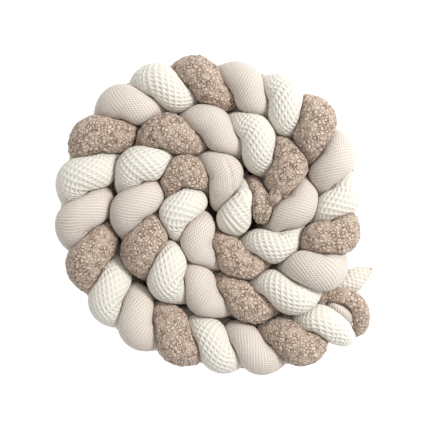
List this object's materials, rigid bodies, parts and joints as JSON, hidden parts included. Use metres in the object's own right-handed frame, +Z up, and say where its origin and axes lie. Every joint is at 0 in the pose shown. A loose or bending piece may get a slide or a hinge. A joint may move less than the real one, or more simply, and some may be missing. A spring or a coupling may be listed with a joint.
{
  "type": "crib bumper",
  "caption": "Soft crib bumper: a plait of stuffed cream waffle, brown teddy and beige fine-waffle tubes, stood on its edge and coiled flat into a spiral.",
  "frame": {"origin": "on the floor, in the middle of the coil's box seen from above", "axes": "+Z up, through the middle of the coil, out of the top of the plait. Seen from above, the plait's outer end is at +X and a little -Y, and the plait winds clockwise from it towards the middle"},
  "size_m": [0.4923, 0.4827, 0.1239],
  "materials": {
    "cream_waffle": "soft cream waffle cloth with large square cells, matte",
    "brown_teddy": "brown teddy pile with short curled tufts, matte",
    "beige_waffle": "beige fine waffle cloth with small cells, matte"
  },
  "bodies": {
    "root": {"strand_cream": "cream_waffle", "strand_brown": "brown_teddy", "strand_beige": "beige_waffle"}
  },
  "joints": []
}
